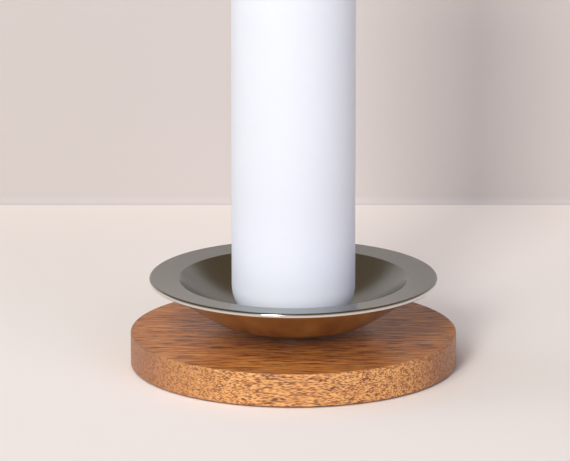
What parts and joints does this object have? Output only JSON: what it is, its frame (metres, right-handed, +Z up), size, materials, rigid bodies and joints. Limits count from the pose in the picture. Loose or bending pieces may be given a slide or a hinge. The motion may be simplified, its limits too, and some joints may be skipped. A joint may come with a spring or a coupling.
{
  "type": "pricket candlestick",
  "caption": "Round wooden base with a raised metal drip dish and a central spike that holds a white pillar candle, which lifts off.",
  "frame": {"origin": "centre of the base at the surface that it stands on", "axes": "+Z up along the candle and the spike, -Y towards the camera of the picture, +X to the right in it"},
  "size_m": [0.132, 0.132, 0.2331],
  "materials": {
    "oiled_wood": "oiled hardwood with open pores, satin",
    "satin_nickel": "satin on top, polished lip and underside",
    "plain_steel": "turned, bright",
    "felt": "pressed felt, matte",
    "white_wax": "smooth wax, soft sheen",
    "wick_cotton": "braided cotton, waxed"
  },
  "bodies": {
    "holder": {"wood_base": "oiled_wood", "dish": "satin_nickel", "pricket": "plain_steel", "washer": "plain_steel", "nut": "plain_steel", "pad_1": "felt", "pad_2": "felt", "pad_3": "felt", "pad_4": "felt"},
    "pillar": {"candle": "white_wax", "wick": "wick_cotton"}
  },
  "joints": [
    {"name": "candle_lift", "type": "slide", "parent": "holder", "child": "pillar", "axis": [0, 0, 1], "range_m": [0, 0.04]}
  ]
}
